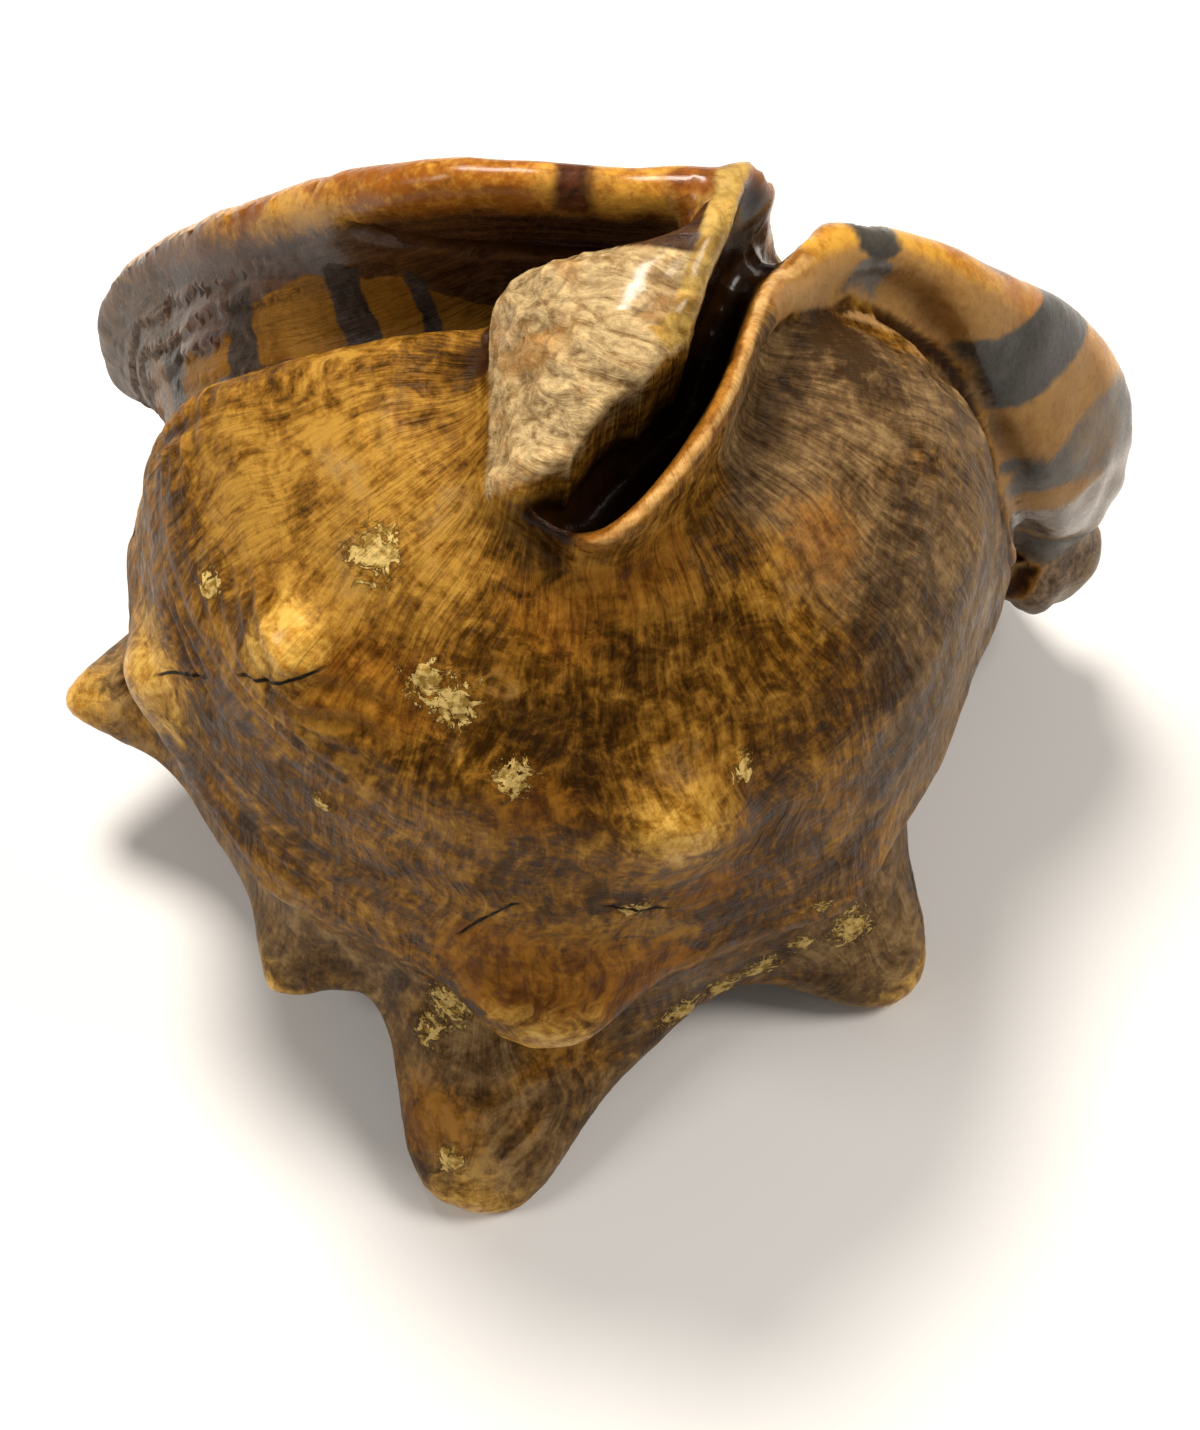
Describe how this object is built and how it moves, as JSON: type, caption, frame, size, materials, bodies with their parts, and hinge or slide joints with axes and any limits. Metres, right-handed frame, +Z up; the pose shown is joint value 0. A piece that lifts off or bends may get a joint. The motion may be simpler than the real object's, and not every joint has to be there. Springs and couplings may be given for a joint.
{
  "type": "helmet shell",
  "caption": "Sea snail's helmet shell with knobbed whorl, flat triangular shield, toothed slit opening and turned-back lip, standing with its front end up.",
  "frame": {"origin": "centre of the bounding box's footprint, on the plane that the shell stands on", "axes": "+Z up, with the front end and its canal on top; +X towards the outer lip, which is also the longest extent; +Y towards the flat face with the opening, so -Y is the knobbed back"},
  "size_m": [0.1632, 0.1469, 0.1437],
  "materials": {
    "shell": "satin"
  },
  "bodies": {
    "root": {"helmet_shell": "shell"}
  },
  "joints": []
}
